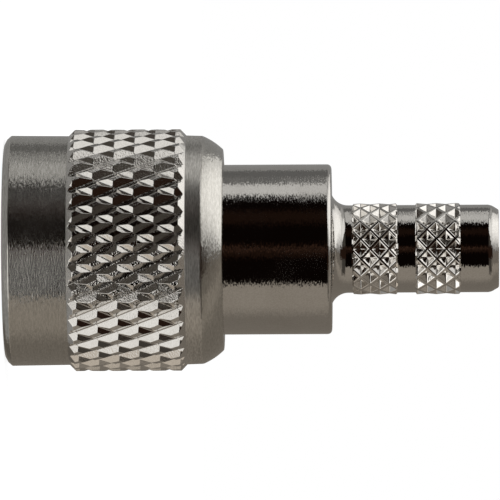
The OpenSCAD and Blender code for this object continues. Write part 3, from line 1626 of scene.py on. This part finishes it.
@dataclass
class Studio:
    """Pale floor, soft light and the camera, in metres; later panels lie over earlier ones."""

    floor_half: float = 0.4
    floor_drop: float = 0.02 * MM
    floor_colour: Colour = (0.92, 0.92, 0.92, 1.0)
    floor_glow: float = 1.05
    glow_share: float = 0.8
    dark: Triple = (0.0028, 0.0014, 0.001)
    ambient: float = 0.9
    panels: tuple[Panel, ...] = (
        # All along the axis
        Panel(0.014, -10.0, 6.0, 8.0, tint=BROWN),
        Panel(0.04, -1.0, 2.0, 2.5, tint=BROWN),
        Panel(0.012, 36.0, 54.0, 12.0, tint=BROWN),
        Panel(0.29, -230.0, -48.0, 5.0, tint=WARM),
        Panel(0.19, -230.0, -95.0, 30.0, tint=WARM),
        Panel(0.27, 134.0, 230.0, 6.0),
        Panel(0.14, 102.0, 134.0, 5.0),
        # The bright strip above, as the plain rounds mirror it
        Panel(0.45, 47.0, 138.0, 36.0, right=-0.14, blur=0.03),
        Panel(0.64, 78.5, 101.0, 8.0, left=-0.07, right=0.2, blur=0.03),
        Panel(0.56, 71.0, 116.0, 6.0, left=-0.002, right=0.2, blur=0.006),
        # Towards the cable end, mirrored by what leans back
        Panel(0.06, -75.0, 40.0, 16.0, left=0.27, right=0.6, tint=WARM),
        Panel(0.95, 77.0, 128.0, 8.0, left=0.27, right=0.6, blur=0.04, slant=93.0),
        Panel(0.42, 122.0, 165.0, 10.0, left=0.24, right=0.6, slant=93.0),
        Panel(0.9, 122.0, 200.0, 10.0, left=0.46, right=0.62, blur=0.04, slant=93.0),
        Panel(1.25, 21.0, 170.0, 125.0, left=0.6),
        Panel(0.18, -60.0, -14.0, 8.0, left=0.6, tint=WARM),
        Panel(0.02, -30.0, 7.0, 8.0, left=0.22, right=0.8, blur=0.05, tint=BROWN),
        # Towards the mating end, mirrored by what leans forward
        Panel(1.25, -49.0, 3.0, 4.0, right=-0.15, blur=0.03),
        Panel(0.07, 3.0, 115.0, 6.0, right=-0.27, tint=WARM),
        Panel(0.12, -230.0, -125.0, 8.0, right=-0.3, tint=WARM),
        Panel(0.4, -134.0, -70.0, 8.0, right=-0.27, blur=0.04, tint=WARM),
        Panel(0.62, -128.0, -75.0, 14.0, right=-0.3, blur=0.04, slant=92.0, tint=WARM),
        Panel(1.0, -98.0, -24.0, 8.0, right=-0.3, blur=0.04, slant=92.0),
        Panel(0.3, -230.0, 230.0, right=-0.62, blur=0.04),
        Panel(0.06, 4.0, 66.0, 8.0, right=-0.62, blur=0.04, tint=WARM),
        Panel(1.4, -70.0, 3.0, 8.0, right=-0.62, blur=0.04),
        Panel(0.3, -230.0, 230.0, right=-0.92, blur=0.04),
    )
    lamps: tuple[Lamp, ...] = (
        Lamp("key_lamp", (-0.18, -0.22, 0.3), 0.22, 1.1),
        Lamp("fill_lamp", (0.25, -0.1, 0.2), 0.3, 0.5),
    )
    camera_place: Triple = (0.000023, -0.4515, 0.0192)
    camera_aim: Triple = (0.000023, 0.0, 0.01124)
    camera_roll_deg: float = 0.3
    lens: float = 707.6
    sensor: float = 36.0
    clip_near: float = 0.005
    clip_far: float = 20.0

    def build(self) -> None:
        """Sets up floor, world, lamps and camera."""
        self.build_floor()
        self.build_world()
        for lamp in self.lamps:
            lamp.hang()
        self.build_camera()
        bpy.context.scene.view_settings.view_transform = "Standard"

    def build_floor(self) -> None:
        """Lays the pale floor under the part."""
        clear_bench()
        bpy.ops.mesh.primitive_plane_add(size=2 * self.floor_half, location=(0, 0, -self.floor_drop))
        floor = bpy.context.active_object
        floor.name = "floor"
        floor.data.materials.append(self.floor_white())
        floor.visible_glossy = False

    def floor_white(self) -> Material:
        """Makes the floor's finish, clear from below so that the mouth shows there.

        Returns:
            The material.
        """
        material = bpy.data.materials.new("floor_white")
        material.use_nodes = True
        desk = ShaderDesk(material.node_tree)
        desk.tree.nodes.clear()
        paint = desk.wire(desk.node("ShaderNodeBsdfDiffuse"), self.floor_colour)
        glow = desk.node("ShaderNodeEmission")
        glow.inputs["Strength"].default_value = self.floor_glow
        seen = desk.node("ShaderNodeLightPath").outputs["Is Camera Ray"]
        share = desk.math("MULTIPLY", seen, self.glow_share)
        top = desk.wire(desk.node("ShaderNodeMixShader"), share, paint, glow.outputs[0])
        below = desk.node("ShaderNodeNewGeometry").outputs["Backfacing"]
        clear = desk.node("ShaderNodeBsdfTransparent").outputs[0]
        sides = desk.wire(desk.node("ShaderNodeMixShader"), below, top, clear)
        desk.feed(sides, desk.node("ShaderNodeOutputMaterial").inputs["Surface"])
        return material

    def build_world(self) -> None:
        """Paints the studio by direction: white to the camera, plain to matt work, panels to metal."""
        world = bpy.data.worlds.new("studio")
        world.use_nodes = True
        bpy.context.scene.world = world
        desk = ShaderDesk(world.node_tree)
        desk.tree.nodes.clear()
        parts = desk.node("ShaderNodeSeparateXYZ")
        desk.feed(desk.node("ShaderNodeTexCoord").outputs["Generated"], parts.inputs[0])
        x, y, share = parts.outputs
        turn = desk.math("ARCTAN2", desk.math("MULTIPLY", x, -1.0), desk.math("MULTIPLY", y, -1.0))
        angle = desk.math("DEGREES", turn)
        colour: object = (*self.dark, 1.0)
        for panel in self.panels:
            shade = (*(panel.level * part for part in panel.tint), 1.0)
            colour = desk.mix(panel.mask(desk, angle, share), colour, shade)
        path = desk.node("ShaderNodeLightPath").outputs
        plain = (self.ambient, self.ambient, self.ambient, 1.0)
        colour = desk.mix(path["Is Diffuse Ray"], colour, plain)
        colour = desk.mix(path["Is Camera Ray"], colour, (1.0, 1.0, 1.0, 1.0))
        background = desk.wire(desk.node("ShaderNodeBackground"), colour)
        desk.feed(background, desk.node("ShaderNodeOutputWorld").inputs["Surface"])

    def build_camera(self) -> None:
        """Sets the camera level with the part's side, with the part's axis across the picture."""
        data = bpy.data.cameras.new("camera")
        camera = bpy.data.objects.new("camera", data)
        bpy.context.scene.collection.objects.link(camera)
        data.lens = self.lens
        data.sensor_width = self.sensor
        data.clip_start = self.clip_near
        data.clip_end = self.clip_far
        place = Vector(self.camera_place)
        ahead = (Vector(self.camera_aim) - place).normalized()
        right = (Vector((0, 0, 1)) - ahead * ahead.z).normalized()
        right = Matrix.Rotation(math.radians(self.camera_roll_deg), 3, ahead) @ right
        above = right.cross(ahead)
        turned = Matrix((right, above, -ahead)).transposed().to_4x4()
        camera.matrix_world = Matrix.Translation(place) @ turned
        bpy.context.scene.camera = camera


def main() -> None:
    """Builds and dresses the pieces in order, then sets the studio around them."""
    logging.basicConfig(level=logging.INFO, format="%(name)s: %(message)s")
    effects = Effects()
    for piece in (CouplingNut(), CrimpShell(), Insulator(), CentreContact(), SpringRing()):
        piece.dress(effects)
    Studio().build()
    clear_bench()


if __name__ == "__main__":
    main()
